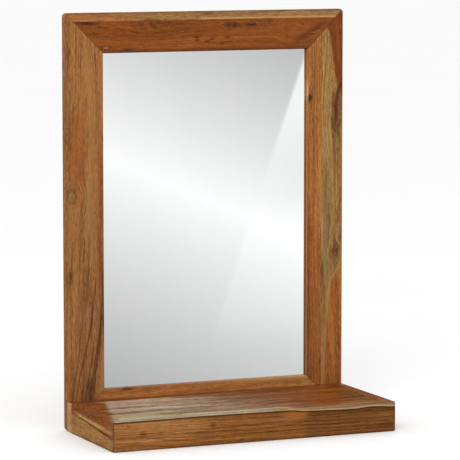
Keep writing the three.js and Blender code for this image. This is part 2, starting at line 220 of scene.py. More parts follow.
# Blue falls off fastest, so that dark lines are warm and light ones yellow.
RED_FALL, GREEN_FALL, BLUE_FALL = 0.9, 1.0, 1.15
# What the mottling multiplies the wood's colour by, from reddish to greyish.
TINTS = ((0.35, (1.07, 0.98, 0.92, 1)), (0.65, (0.95, 1.015, 1.06, 1)))
BOARD_STEP, LAYER_STEP = 7.3, 41.0  # how far apart in the noise two boards lie, and two glued pieces of one
FIBRE_RELIEF = 0.00006


def seen(red, green, blue, light=FRONT_LIGHT):
    """The wood's own colour, from the colour that the studio light makes of it."""
    gain, gloss = light
    return (*(max(level - gloss, 0.002) / gain for level in srgb(red, green, blue)[:3]), 1.0)


def shades(red, green, blue, light=FRONT_LIGHT):
    """A wood with this middle colour, from its dark growth lines to its lightest fibres."""
    middle = tuple(zip(seen(red, green, blue, light), (RED_FALL, GREEN_FALL, BLUE_FALL)))
    return tuple((at, (*(level * power**fall for level, fall in middle), 1.0)) for at, power in TONE_STEPS)


class Board(Finish):
    """The wood of one board, as a solid that its faces cut through.

    along, across and into are millimetres from a corner of the board, so that a knot or a
    streak is placed as a maker would mark it out on the face.
    """

    # How far each part of the figure reaches along the grain, across it and into the board.
    SWAY, SHIVER = (150, 45, 45), (30, 11, 16)
    FIBRES, MOTTLING, PORES = (9, 0.95, 2), (26, 4.5, 7), (4.5, 0.5, 1.2)
    BANDS_DEEP, LINES_DEEP, LINES_SHARE = 18, 6, 0.4
    # How far a knot parts the fibres ahead of it and beside it, and how strongly.
    SWELL_AHEAD, SWELL_ASIDE, SWELL_PULL = -0.14, 0.07, 0.45
    # Where the painted shade on an arris ends and where it is full, and the widths of glue lines and end
    # lines.
    ARRIS_END, ARRIS_FULL, MITRE_LINE, END_LINE = 2.3, 0.7, 1.1, 1.6

    def __init__(self, name, corner, along, across, into, seed, length=FRAME_WIDE):
        super().__init__(name)
        self.along, self.across, self.into = (self.measured(d, corner) for d in (along, across, into))
        self.flow, self.layer, self.length = self.across, seed * BOARD_STEP, length
        self.knots = []

    def measured(self, direction, corner):
        """Millimetres from the corner in a direction such as +x."""
        axis = "xyz".index(direction[1])
        return (self.place[axis] - corner[axis]) * (MM if direction[0] == "+" else -MM)

    def knot(self, along, across, length, width, colour=DARK_KNOT, strength=0.8, pull=1.0):
        """A knot with the fibres parted round it; length and width are of its heart."""
        ahead = (self.along - along) / (length / 2)
        aside = (self.across - across) / (width / 2)
        swell = math.e ** (ahead * ahead * self.SWELL_AHEAD - aside * aside * self.SWELL_ASIDE)
        self.flow = self.flow - aside * swell * (width * self.SWELL_PULL * pull)
        self.knots.append((ahead, aside, colour, strength))

    def glued(self, line):
        """A glue line at this distance across: another piece of wood lies past it."""
        self.layer = self.layer + self.across.over(line) * LAYER_STEP

    def figure(self, across, reaches, detail=2.0, roughness=0.5):
        """Noise that is stretched by its reaches along, across and into the board."""
        far, wide, deep = reaches
        return self.noise(self.along / far, across / wide, self.into / deep + self.layer, detail, roughness)

    def grow(self, wander=8.0, ripple=1.6, band=10.0, line=2.4, reach=170.0, contrast=(0.8, 0.9, 1.9, 0.45)):
        """The figure: broad bands, growth lines, fibres and mottling, as a tone about 0.5.

        wander and ripple bend the grain, band, line and reach are the figure's widths and its
        length in millimetres, and contrast weighs the four parts.
        """
        sway = self.figure(self.flow, self.SWAY, 1.0)
        shiver = self.figure(self.flow, self.SHIVER)
        run = self.flow + (sway - 0.5) * wander * 2 + (shiver - 0.5) * ripple * 2
        self.bands = self.figure(run, (reach, band, self.BANDS_DEEP))
        lines = self.figure(run, (reach * self.LINES_SHARE, line, self.LINES_DEEP), 3.0, 0.6)
        self.fibre = self.figure(run, self.FIBRES, 3.0, 0.75)
        self.mottle = self.figure(run, self.MOTTLING, 3.0, 0.6)
        self.pore = self.figure(run, self.PORES, 1.0).ramped(0.60, 0.74)
        parts = zip((self.bands, lines, self.fibre, self.mottle), contrast)
        self.tone = 0.5 + sum((part - 0.5) * weight for part, weight in parts)
        self.colour = None

    def ragged(self, fibres, mottling):
        """An unevenness about zero that follows the grain."""
        return (self.fibre - 0.5) * fibres + (self.mottle - 0.5) * mottling

    def paint(self, palette, mask=None):
        """Wood of another colour where the mask is 1, with the same figure running through it."""
        wood = self.ramp(self.tone, palette)
        self.colour = wood if mask is None else self.blend(mask, self.colour, wood)

    def line(self, *points):
        """A distance across that changes along the board, smoothly through a few (along, across) points."""
        lowest, reach, margin = -20.0, 200.0, 50.0
        span = self.length + 2 * margin
        levels = [((a + margin) / span, (c - lowest) / reach) for a, c in points]
        ramp = self.ramp((self.along + margin) / span, [(at, (v, v, v, 1.0)) for at, v in levels])
        ramp.socket.node.color_ramp.interpolation = "CARDINAL" if len(points) > 2 else "LINEAR"
        return ramp * reach + lowest

    def past(self, line, soft=1.5, waver=1.0):
        """1 beyond a line across the board, 0 before it, with an edge that wavers with the fibres."""
        edge = self.across - line + (self.mottle - 0.5) * waver * 4 + (self.fibre - 0.5) * waver * 3
        return edge.ramped(-soft / 2, soft / 2)

    def span(self, start, end, soft=12.0):
        """1 between two distances along the board."""
        begun = self.along.ramped(start - soft / 2, start + soft / 2)
        return begun * self.along.ramped(end + soft / 2, end - soft / 2)

    def wavering(self, waver):
        """The distance along the board, made uneven for a change of colour that runs across it."""
        return self.along + (self.mottle - 0.5) * waver

    def patch(self, along, across, length, width, soft=0.9):
        """An oval, ragged along the grain."""
        ahead, aside = (self.along - along) / (length / 2), (self.across - across) / (width / 2)
        return (ahead * ahead + aside * aside + self.ragged(1.4, 1.6)).ramped(1 + soft, 1 - soft)

    def streak(self, points, width, colour, strength=0.7, soft=25.0):
        """A dark or light line through (along, across) points, fading out at its ends."""
        offset = (self.across - self.line(*points) + (self.fibre - 0.5) * width * 2) / (width / 2)
        mask = offset.hump() * self.span(points[0][0], points[-1][0], soft) * strength
        self.colour = self.blend(mask * (0.6 + self.mottle * 0.8), self.colour, colour)

    def stain(self, mask, colour, strength=0.7):
        """Tints the wood where the mask is 1."""
        self.colour = self.blend(mask * strength, self.colour, colour)

    def spot(self, along, across, length, width, colour, strength):
        """Tints a ragged oval."""
        self.stain(self.patch(along, across, length, width), colour, strength)

    def arris(self, edge, strength=0.45):
        """Painted shade along a front edge that runs along the board at this distance across: the rounded edge
        drawn darker.
        """
        near = ((self.across - edge) ** 2.0 + self.into * self.into) ** 0.5
        self.stain(near.ramped(self.ARRIS_END, self.ARRIS_FULL), DARK_EDGE, strength)

    def reveal(self, edge, strength=0.9):
        """The side face in the opening: painted light over the face and its front edge, and painted shadow
        down by the glass.
        """
        side = abs(self.across - edge).ramped(0.9, 0.3)
        self.stain(side, seen(168, 116, 68), strength * 0.8)
        self.stain(side * self.into.ramped(5.0, 5.8), GLASS_SHADOW, strength)

    def mitre(self, start, slant, strength=0.55):
        """The glue line of a mitre that starts at this distance along and runs 45 degrees across."""
        offset = self.along - start - self.across * slant
        self.stain((offset / self.MITRE_LINE).hump(), DARK_EDGE, strength)

    def end_line(self, along):
        """The dark line where the board's end meets another board."""
        self.stain(((self.along - along) / self.END_LINE).hump(), DARK_EDGE, 0.6)

    def dark_foot(self):
        """The shelf's lower edge, a little darker: painted shade on the rounded edge."""
        self.stain((self.across - (SHELF_TALL - 1.8)).ramped(-1.0, 1.2), DARK_EDGE, 0.5)

    def finish_knots(self):
        for ahead, aside, colour, strength in self.knots:
            reach = (ahead * ahead + aside * aside) ** 0.5 + self.ragged(1.5, 1.5)
            self.stain(((reach - 1.4) / 0.45).hump(), DARK_EDGE, strength * 0.5)
            self.stain(reach.ramped(1.3, 0.5), colour, strength)

    def lacquered(self, coat=0.08, coat_roughness=0.16, gloss=0.1, roughness=0.45):
        """Closes the board: knots, pores, tinted mottling, gloss and the slight relief of the fibres."""
        self.finish_knots()
        colour = self.blend(1.0, self.colour, self.ramp(self.mottle, TINTS), "MULTIPLY")
        colour = self.blend(self.pore * 0.5, colour, PORE_BROWN)
        height = 0.5 + (self.fibre - 0.5) * 0.6 - self.pore * 0.5
        return self.surface(
            Base_Color=colour,
            Roughness=roughness + (self.fibre - 0.5) * 0.3 + self.pore * 0.15,
            Specular_IOR_Level=gloss, Coat_Weight=coat, Coat_Roughness=coat_roughness,
            Normal=self.bump(height, FIBRE_RELIEF),
        )


# ---------------------------------------------------------------- the boards


def top_rail_wood():
    """Reddish heartwood with a lighter board glued on along its top."""
    glue_line = 11
    board = Board("wood_top_rail", (LEFT_SIDE, FRAME_FRONT, FRAME_TOP), "+x", "-z", "+y", 1)
    board.knot(262, 19, 24, 5, srgb(44, 28, 18), 0.9)
    board.knot(232, 19, 9, 4, DARK_KNOT, 0.8)
    board.knot(290, 14, 9, 5, RED_KNOT, 0.6)
    board.knot(57, 46, 8, 3, seen(168, 100, 54), 0.7)
    board.knot(88, 49, 13, 4, DARK_KNOT, 0.85)
    board.knot(120, 17, 30, 9, RED_KNOT, 0.12)
    board.knot(325, 27, 14, 10, seen(160, 98, 52), 0.12)
    board.glued(glue_line)
    board.grow(wander=5, line=2.6, reach=240, contrast=(0.45, 0.9, 1.7, 0.3))
    board.paint(shades(129, 71, 31))
    board.paint(shades(135, 76, 35), board.bands.ramped(0.42, 0.62) * 0.6)
    board.streak(((9, 13), (24, 13.4), (44, 14)), 5, seen(66, 36, 16), 0.9)
    board.streak(((330, 40), (350, 31), (372, 20)), 9, seen(84, 42, 20), 0.7)
    board.streak(((50, 50), (200, 50.6), (400, 50)), 3, seen(88, 44, 22), 0.6)
    # Darker along the lower edge by the opening: painted shade on the face that looks down.
    board.stain((board.across - (MEMBER_WIDE - 0.6)).ramped(-1.3, 0.2), seen(60, 26, 12), 0.85)
    for along, across in ((185, 34), (201, 40), (230, 35), (208, 37), (186, 38), (222, 43)):
        board.spot(along, across, 8, 3, seen(80, 38, 20), 0.75)
    strip = 1 - board.past(glue_line, 0.8, 0.0)
    board.paint(shades(149, 111, 69), strip)
    board.paint(shades(166, 107, 59), strip * board.along.ramped(150, 50))
    light_line = strip * ((board.across - 9.6) / 1.2).hump()
    board.stain(light_line * board.span(190, 388), seen(196, 146, 88), 0.8)
    board.stain(strip * board.patch(200, 3.5, 18, 3), seen(110, 66, 36), 0.6)
    board.streak(((40, 4), (110, 8), (140, 10.5)), 2.5, seen(120, 78, 40), 0.5)
    board.arris(0)
    board.mitre(FRAME_WIDE, -1, 0.7)
    board.mitre(0, 1, 0.25)
    return board.lacquered()


def bottom_rail_wood():
    """The strip that shows above the shelf; measured down from the opening."""
    board = Board("wood_bottom_rail", (LEFT_SIDE, FRAME_FRONT, OPENING_FOOT), "+x", "-z", "+y", 2)
    board.grow(wander=6)
    board.paint(shades(170, 110, 61))
    board.paint(shades(164, 118, 66), board.along.ramped(290, 340) * 0.8)
    # Lighter along the top edge by the opening: painted light on the face that looks up and the edge above it.
    board.stain(board.across.ramped(6.5, 2.0) * board.along.ramped(150, 330), seen(186, 142, 92), 0.6)
    board.spot(85, 1.5, 14, 4, seen(92, 40, 26), 0.7)
    board.mitre(MEMBER_WIDE, -1, 0.5)
    board.mitre(FRAME_WIDE - MEMBER_WIDE, 1, 0.5)
    return board.lacquered()


def left_stile_wood():
    """Honey wood with an orange heart half way up and dark slanting lines at the foot."""
    corner = (LEFT_SIDE, FRAME_FRONT, FRAME_TOP)
    board = Board("wood_left_stile", corner, "-z", "+x", "+y", 3, FRAME_TALL)
    board.knot(240, 8, 11, 8, GREY_KNOT, 0.75)
    board.knot(345, 6, 13, 3.6, DARK_KNOT, 0.75)
    board.knot(125, 12, 6, 3, DARK_KNOT, 0.3)
    board.grow(wander=9, line=1.9, reach=230, contrast=(0.8, 1.2, 2.0, 0.4))
    board.paint(shades(150, 101, 57))
    board.paint(shades(140, 92, 50), board.bands.ramped(0.5, 0.64) * 0.5)
    board.paint(shades(143, 87, 44), board.patch(185, 17, 120, 30, 0.7) * 0.85)
    board.streak(((140, 36), (190, 27), (222, 15), (246, 11)), 5, seen(112, 70, 38), 0.4)
    inner = (board.across + (board.mottle - 0.5) * 10).ramped(40, 48) * board.along.ramped(130, 190)
    board.paint(shades(128, 80, 46), inner * 0.75)
    board.streak(((60, 30), (130, 35), (250, 31), (330, 35)), 9, seen(168, 124, 74), 0.5)
    foot = board.past(board.line((330, 70), (352, 26), (430, 14), (560, 8)), 12, 1.5)
    board.paint(shades(144, 97, 58), foot * board.along.ramped(330, 380) * 0.8)
    for points, width, strength in (
        (((335, 52), (420, 46), (512, 32)), 2.4, 0.75),
        (((345, 42), (440, 28), (512, 12)), 2.2, 0.7),
        (((395, 49), (440, 45), (500, 37)), 3.2, 0.8),
        (((435, 38), (475, 32), (512, 25)), 2.2, 0.75),
        (((250, 22), (290, 21), (330, 19)), 3.0, 0.4),
        (((290, 32), (335, 31), (385, 28)), 2.6, 0.5),
        (((410, 20), (465, 15), (512, 7)), 2.0, 0.6),
        (((380, 36), (420, 33), (470, 22)), 1.6, 0.5),
        (((306, 9), (325, 7.5), (345, 6.5)), 1.8, 0.6),
    ):
        board.streak(points, width, seen(74, 46, 22), strength)
    board.spot(500, 33, 40, 8, seen(66, 42, 22), 0.6)
    wedge = board.past(board.line((420, 54), (450, 49), (520, 44)), 2, 0.5)
    board.stain(wedge * board.along.ramped(415, 445), seen(168, 124, 72), 0.7)
    board.spot(402, 52.5, 60, 3, seen(42, 26, 14), 0.9)
    board.spot(165, 52, 12, 3, seen(88, 34, 22), 0.8)
    board.spot(52, 4.5, 10, 6, seen(92, 56, 30), 0.55)
    board.arris(0, 0.2)
    board.reveal(MEMBER_WIDE)
    return board.lacquered()


def right_stile_wood():
    """Two pieces glued side by side: orange along the opening, olive and reddish outside."""
    glue_line = 21.5
    corner = (OPENING_RIGHT, FRAME_FRONT, FRAME_TOP)
    board = Board("wood_right_stile", corner, "-z", "+x", "+y", 4, FRAME_TALL)
    board.knot(330, 40, 12, 7, seen(104, 48, 26), 0.8)
    board.knot(310, 50, 10, 5, RED_KNOT, 0.6)
    board.knot(137, 43, 36, 8, RED_KNOT, 1.0)
    board.knot(118, 5, 9, 4, DARK_KNOT, 0.7)
    board.glued(glue_line)
    board.grow(wander=7, line=2.0, reach=260, contrast=(0.9, 1.4, 2.0, 0.5))
    board.paint(shades(160, 103, 52))
    board.paint(shades(142, 84, 42), board.along.ramped(240, 330) * 0.85)
    outer = board.past(glue_line, 0.5, 0.0)
    board.paint(shades(148, 111, 63), outer)
    board.paint(shades(133, 103, 64), outer * board.patch(280, 27, 190, 14) * 0.9)
    board.stain(board.patch(312, 26, 120, 8) * outer, seen(152, 136, 98), 0.2)
    red_head = board.past(board.line((0, 20), (30, 32), (90, 42), (128, 47)), 2.0, 1.0)
    board.paint(shades(120, 64, 30), red_head * board.wavering(40).ramped(136, 112) * outer)
    red_foot = board.line((335, 60), (352, 50), (368, 37.5), (410, 31.5), (470, 28), (550, 25))
    red_foot = board.past(red_foot, 1.6, 0.8)
    board.paint(shades(156, 95, 45), red_foot * board.along.ramped(335, 350) * outer)
    for points, width, colour, strength in (
        (((350, 47), (366, 35.5), (410, 29.6), (470, 26.2), (525, 24)), 3.4, (174, 124, 70), 0.65),
        (((280, 22.6), (330, 22.8)), 1.6, (186, 150, 100), 0.8),
        (((170, 44), (195, 41), (215, 42)), 9, (104, 76, 40), 0.5),
    ):
        board.streak(points, width, seen(*colour), strength)
    board.streak(((96, 51), (112, 46), (124, 44)), 4.5, seen(84, 40, 22), 0.8, 10)
    board.streak(((120, 44), (136, 43.5), (158, 43)), 6, seen(92, 42, 24), 0.75, 12)
    board.spot(355, 22.5, 22, 4, seen(96, 54, 28), 0.6)
    board.spot(480, 20, 7, 3, seen(78, 42, 24), 0.7)
    board.spot(109, 0, 25, 2.2, seen(232, 208, 172), 0.9)
    board.spot(119, 3.6, 10, 3.4, DARK_EDGE, 0.85)
    board.streak(((60, 12), (240, 9), (500, 14)), 3, seen(118, 64, 30), 0.35)
    inner_line, outer_line = ((board.across - 2.2) / 1.6).hump(), ((board.across - 51.4) / 1.3).hump()
    board.stain(inner_line * board.along.ramped(90, 200), seen(104, 58, 28), 0.5)
    board.stain(outer_line * board.along.ramped(130, 170), seen(178, 106, 50), 0.55)
    board.arris(MEMBER_WIDE, 0.2)
    board.reveal(0, 0.95)
    board.mitre(MEMBER_WIDE, -1, 0.4)
    return board.lacquered()


def shelf_front_wood():
    """The lip: honey at the left, browner past a sharp change, with a pale strip along its top edge that is
    partly sapwood and partly a painted highlight.
    """
    board = Board("wood_shelf_front", (LEFT_SIDE, SHELF_FRONT, SHELF_TOP), "+x", "-z", "+y", 5)
    board.knot(41, 18, 6, 4, RED_KNOT, 0.75, 0.4)
    board.knot(138, 13, 6, 4, DARK_KNOT, 0.75, 0.4)
    board.grow(wander=2, ripple=0.5, line=1.2, reach=420, contrast=(0.4, 2.1, 1.4, 0.15))
    board.paint(shades(129, 83, 44, LIP_LIGHT))
    board.paint(shades(155, 108, 64, LIP_LIGHT), board.patch(55, 12, 150, 34) * 0.75)
    brown = board.wavering(16).ramped(262, 274)
    board.paint(shades(111, 71, 39, LIP_LIGHT), brown)
    board.stain(board.patch(380, 17, 36, 7) * brown, seen(138, 88, 48, LIP_LIGHT), 0.35)
    board.spot(385, 30, 24, 8, seen(76, 46, 24, LIP_LIGHT), 0.5)
    board.spot(252, 8, 34, 12, seen(168, 104, 54, LIP_LIGHT), 0.4)
    for points, width in (
        (((20, 30), (70, 36), (120, 39)), 1.6),
        (((60, 26), (130, 34), (220, 37)), 1.4),
        (((110, 20), (200, 23), (265, 19)), 1.8),
        (((230, 20), (300, 23), (395, 19)), 1.8),
        (((0, 22), (60, 24), (150, 28)), 1.4),
    ):
        board.streak(points, width, seen(84, 50, 24, LIP_LIGHT), 0.6)
    edge = board.line((0, 0.6), (120, 0.2), (250, 1.0), (265, 3.0),
                      (300, 4.2), (340, 5.0), (365, 3.6), (400, 6.0))
    board.stain(((board.across - edge - 1.2) / 1.3).hump(), seen(58, 34, 16, LIP_LIGHT), 0.85)
    # The pale strip along the top edge: partly sapwood and partly a painted highlight on the rounded edge.
    sapwood_and_highlight = 1 - board.past(edge, 0.8, 0.2)
    board.paint(shades(166, 153, 128, TOP_LIGHT), sapwood_and_highlight)
    board.paint(shades(118, 84, 50, TOP_LIGHT), sapwood_and_highlight * board.wavering(80).ramped(190, 260) * 0.85)
    light_line = ((board.across - edge + 0.9) / 0.9).hump() * board.along.ramped(220, 270)
    board.stain(light_line, seen(190, 156, 110, TOP_LIGHT), 0.7)
    board.dark_foot()
    board.end_line(0)
    board.end_line(FRAME_WIDE)
    return board.lacquered(coat=0.05, gloss=0.0)


def sheen_edge(right, forward):
    """1 where the painted sheen on the shelf's top lies, past a slanting edge at the left; the sheen is a
    painted reflection.
    """
    return (right + forward * 0.32 - 53).ramped(-4, 5)


def shelf_end_wood(name, side, seed):
    """An end board, measured from the back; a dark line with a light one over it runs to the mitre."""
    board = Board(name, (side, FRAME_FRONT, SHELF_TOP), "-y", "-z", "+x", seed, SHELF_DEEP)
    board.knot(142, 11, 9, 5, seen(120, 92, 40, END_LIGHT), 0.6)
    board.grow(wander=4)
    board.paint(shades(121, 74, 45, END_LIGHT))
    low = board.past(board.line((20, 12), (35, 12), (100, 17), (165, 22)), 2.0, 0.6)
    board.paint(shades(143, 106, 64, END_LIGHT), low)
    board.streak(((30, 10), (90, 12.5), (130, 14), (160, 15)), 5, seen(178, 138, 88, END_LIGHT), 0.8)
    board.streak(((28, 12), (100, 17), (150, 21), (172, 22)), 2.2, seen(70, 42, 20, END_LIGHT), 0.9)
    # Its top face carries on the shelf top's painted sheen, a painted reflection.
    painted_sheen = sheen_edge(board.into, board.along) * board.across.ramped(0.8, 0.2)
    board.paint(shades(152, 134, 104, TOP_LIGHT), painted_sheen)
    for along in (65, 130):
        board.spot(along, 35, 26, 5, seen(140, 70, 44, END_LIGHT), 0.6)
    board.stain(board.along.ramped(154, 162), seen(112, 90, 66, END_LIGHT), 0.3)
    board.end_line(SHELF_DEEP - 0.6)
    board.dark_foot()
    return board.lacquered(coat=0.02, gloss=0.0)


def shelf_top_wood():
    """The top board: reddish brown, with a painted greyish sheen, a painted reflection, that fades off to the
    right over a glossier coat.
    """
    board = Board("wood_shelf_top", (LEFT_SIDE, FRAME_FRONT, SHELF_TOP), "+x", "-y", "-z", 8)
    board.knot(384, 22, 22, 10, DARK_KNOT, 0.8)
    board.grow(wander=9, band=12, line=3.0, contrast=(1.0, 1.7, 2.2, 0.8))
    painted_sheen = sheen_edge(board.along, board.across)
    painted_sheen = painted_sheen * (board.wavering(120) - board.across * 0.25).ramped(290, 110)
    back = board.across.ramped(90, 20)
    # The rows masked by the sheen are a painted reflection, light and greyish; the others are the wood and its
    # patches.
    for colour, mask in (
        ((124, 72, 38), None),
        ((128, 72, 33), board.patch(346, 56, 54, 130)),
        ((152, 127, 104), painted_sheen * board.tone.ramped(0.0, 0.4)),
        ((172, 146, 124), painted_sheen * back * board.along.ramped(180, 120) * 0.8),
        ((148, 131, 98), painted_sheen * board.patch(50, 140, 150, 60) * board.tone.ramped(0.3, 0.6)),
        ((126, 84, 60), board.patch(265, 38, 140, 60) * 0.5),
        ((106, 73, 38), board.patch(376, 112, 50, 90) * 0.8),
    ):
        board.paint(shades(*colour, TOP_LIGHT), mask)
    # The first seven streaks, light, are painted glints in the sheen; the rest are dark streaks in the wood.
    for points, width, colour, strength in (
        (((62, 84), (80, 84), (102, 86)), 12, (204, 190, 164), 0.55),
        (((95, 84), (110, 84), (130, 86)), 14, (206, 196, 170), 0.55),
        (((130, 86), (146, 88), (164, 90)), 10, (190, 172, 164), 0.45),
        (((38, 22), (55, 22), (76, 20)), 10, (200, 180, 156), 0.55),
        (((84, 20), (95, 21), (110, 19)), 7, (206, 188, 164), 0.5),
        (((10, 146), (120, 147), (250, 150)), 8, (188, 178, 148), 0.75),
        (((18, 121), (60, 120), (118, 118)), 6, (178, 166, 138), 0.6),
        (((98, 62), (125, 61), (152, 64)), 7, (108, 80, 58), 0.65),
        (((160, 62), (200, 58), (255, 50)), 6, (100, 68, 46), 0.55),
        (((16, 112), (60, 109), (212, 103)), 4.5, (108, 82, 52), 0.75),
        (((74, 133), (120, 133), (236, 128)), 12, (112, 82, 40), 0.8),
        (((230, 117), (255, 114), (288, 112)), 9, (84, 52, 32), 0.8),
    ):
        board.streak(points, width, seen(*colour, TOP_LIGHT), strength)
    board.spot(296, 121, 22, 9, seen(150, 62, 38, TOP_LIGHT), 0.6)
    board.spot(326, 126, 34, 42, seen(138, 66, 36, TOP_LIGHT), 0.35)
    glossy_haze = painted_sheen * board.across.ramped(170, 20) * (board.tone * 0.5 - 0.1) + 0.02
    return board.lacquered(coat=glossy_haze, coat_roughness=0.24, gloss=0.0)


def shelf_back_wood():
    """Brown, with pale end grain; only its left end and its top edge show."""
    board = Board("wood_shelf_back", (LEFT_SIDE, FRAME_FRONT, SHELF_TOP), "+x", "-z", "-y", 9)
    board.grow(wander=8)
    board.paint(shades(128, 76, 40))
    board.paint(shades(160, 126, 84, END_LIGHT), board.along.ramped(2.0, 1.0))
    return board.lacquered()


# ---------------------------------------------------------------- other finishes


def raw_beech():
    finish = Finish("raw_beech")
    x, y, z = (axis * MM for axis in finish.place)
    fleck = finish.noise(x / 2, y / 2, z / 2, 3.0)
    colour = finish.ramp(fleck, ((0.3, srgb(178, 140, 96)), (0.7, srgb(214, 182, 138))))
    relief = finish.bump(fleck, 0.0001)
    return finish.surface(Base_Color=colour, Roughness=0.6 + (fleck - 0.5) * 0.2, Normal=relief)


def silvered_glass():
    """The pane: silver seen through clear glass, a ground greenish edge and a painted back."""
    finish = Finish("silvered_glass")
    x, y, z = finish.place
    low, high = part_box("mirror_pane")
    half_wide, half_tall, middle = (high.x - low.x) / 2, (high.z - low.z) / 2, (high.z + low.z) / 2
    wiping = finish.noise(x * MM / 60 + z * MM / 150, y * MM, z * MM / 90, 2.0)
    grit = finish.noise(x * MM / 0.4, y * MM / 0.4, z * MM / 0.4, 2.0)
    outside = (abs(x) - half_wide).larger(abs(z - middle) - half_tall)
    rim = outside.ramped(-GROUND_EDGE * 1.2, -GROUND_EDGE * 0.8)
    back = (y - high.y).ramped(-GROUND_EDGE * 0.4, -GROUND_EDGE * 0.1)
    silver = finish.ramp(wiping, ((0.3, (0.93, 0.945, 0.94, 1)), (0.7, (0.94, 0.95, 0.945, 1))))
    ground = finish.ramp(grit, ((0.3, srgb(150, 178, 168)), (0.7, srgb(190, 210, 202))))
    painted = finish.ramp(grit, ((0.3, srgb(112, 118, 124)), (0.7, srgb(126, 132, 138))))
    plain = rim.larger(back)
    return finish.surface(
        Base_Color=finish.blend(back, finish.blend(rim, silver, ground), painted),
        Metallic=1 - plain,
        Roughness=0.012 + (wiping - 0.5) * 0.01 + plain * (0.4 + grit * 0.2),
    )


def brown_hardboard():
    finish = Finish("brown_hardboard")
    x, y, z = (axis * MM for axis in finish.place)
    cloud = finish.noise(x / 40, y / 40, z / 40, 3.0)
    fluff = finish.noise(x / 1.6, y, z / 0.9, 3.0, 0.7)
    shade = (cloud - 0.5) * 0.3 + fluff
    colour = finish.ramp(shade, ((0.25, srgb(78, 56, 38)), (0.75, srgb(138, 106, 76))))
    relief = finish.bump(fluff, 0.0002)
    return finish.surface(Base_Color=colour, Roughness=0.62 + (fluff - 0.5) * 0.3, Normal=relief)


def zinc_plate():
    finish = Finish("zinc_plate")
    x, y, z = (axis * MM for axis in finish.place)
    cloud = finish.noise(x / 5, y / 5, z / 5, 3.0)
    colour = finish.ramp(cloud, ((0.3, srgb(176, 178, 180)), (0.7, srgb(212, 213, 212))))
    roughness, relief = 0.3 + (cloud - 0.5) * 0.3, finish.bump(cloud, 0.00005)
    return finish.surface(Base_Color=colour, Metallic=1.0, Roughness=roughness, Normal=relief)


# ---------------------------------------------------------------- hardware

# Ground off the pane's edges, and eased off the edges of the keyhole plates and the back panel, in metres.
GROUND_EDGE, PLATE_EDGE, PANEL_EDGE = 0.0005, 0.0002, 0.0004

# A screw's radii and one turn of its thread, in metres.
SHELF_SCREW = {"head": 0.0035, "shank": 0.0018, "pitch": 0.0018}
SMALL_SCREW = {"head": 0.0028, "shank": 0.0014, "pitch": 0.0013}
HEAD_EASE, NECK_STEP, THREAD_START, POINT_LENGTH = 0.0001, 0.0004, 0.0003, 0.0003
# Shares of the head's radius: its rim's and its cone's height, and its cross recess.
HEAD_RIM, HEAD_CONE = 0.1, 0.55
CROSS_REACH, CROSS_WIDTH, CROSS_DEPTH = 0.62, 0.16, 0.5
CROSS_TAPER = 0.6  # the recess's floor, of its mouth
PLAIN_NECK = 0.3  # of the screw's length
CORE, TIP_LENGTH = 0.74, 2.1  # of the shank's radius
POINT = 0.35  # of the core's radius
SCREW_STEPS, THREAD_STEPS = 24, 14  # round the screw, and in one turn of its thread

MERGED, NODE_MERGED = 1e-7, 1e-6  # vertices closer than this are one, in a new form and in a node's copy


def built(name, form, finish):
    """A bmesh form as an object of the scene."""
    mesh = bpy.data.meshes.new(name)
    form.to_mesh(mesh)
    form.free()
    mesh.materials.append(finish)
    piece = bpy.data.objects.new(name, mesh)
    bpy.context.scene.collection.objects.link(piece)
    return piece


def finished_piece(name, form, node, finish, crease=35):
    """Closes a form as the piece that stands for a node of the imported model."""
    bmesh.ops.recalc_face_normals(form, faces=form.faces[:])
    piece = built(name, form, finish)
    piece.data.shade_smooth()
    piece.data.set_sharp_from_angle(angle=math.radians(crease))
    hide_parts(node)
    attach(piece, "root")


def eased_piece(node, ease, finish):
    """A node's shape with its doubles merged and its square outer edges eased; its flat faces stay flat."""
    flat, square, crease = math.radians(0.3), math.radians(60), 3
    form = bmesh.new()
    form.from_mesh(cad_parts[node].data)
    bmesh.ops.remove_doubles(form, verts=form.verts[:], dist=NODE_MERGED)
    bmesh.ops.dissolve_limit(form, angle_limit=flat, verts=form.verts[:], edges=form.edges[:])
    sharp = [e for e in form.edges if e.is_manifold and e.calc_face_angle_signed() > square]
    bmesh.ops.bevel(form, geom=sharp, offset=ease, segments=2, affect="EDGES", profile=0.5, material=-1,
                    clamp_overlap=True)
    finished_piece(f"{node}_eased", form, node, finish, crease)


def turned(profile):
    """A profile of (radius, height) points spun about y, with a flat cap over its first point."""
    form = bmesh.new()
    points = [form.verts.new((radius, height, 0)) for radius, height in profile]
    lines = [form.edges.new(pair) for pair in zip(points, points[1:])]
    bmesh.ops.spin(form, geom=points + lines, cent=(0, 0, 0), axis=(0, 1, 0), angle=math.tau,
                   steps=SCREW_STEPS, use_merge=True)
    bmesh.ops.remove_doubles(form, verts=form.verts[:], dist=MERGED)
    bmesh.ops.holes_fill(form, edges=[e for e in form.edges if e.is_boundary])
    return form


def flat_top(form):
    """The faces of a turned form's cap, at height 0."""
    return [f for f in form.faces if all(abs(v.co.y) < MERGED for v in f.verts)]


def in_cross(face, reach, width):
    """Whether a face of the cap lies in one of the cross's two arms."""
    middle = face.calc_center_median()
    across, along = sorted((abs(middle.x), abs(middle.z)))
    return across < width and along < reach


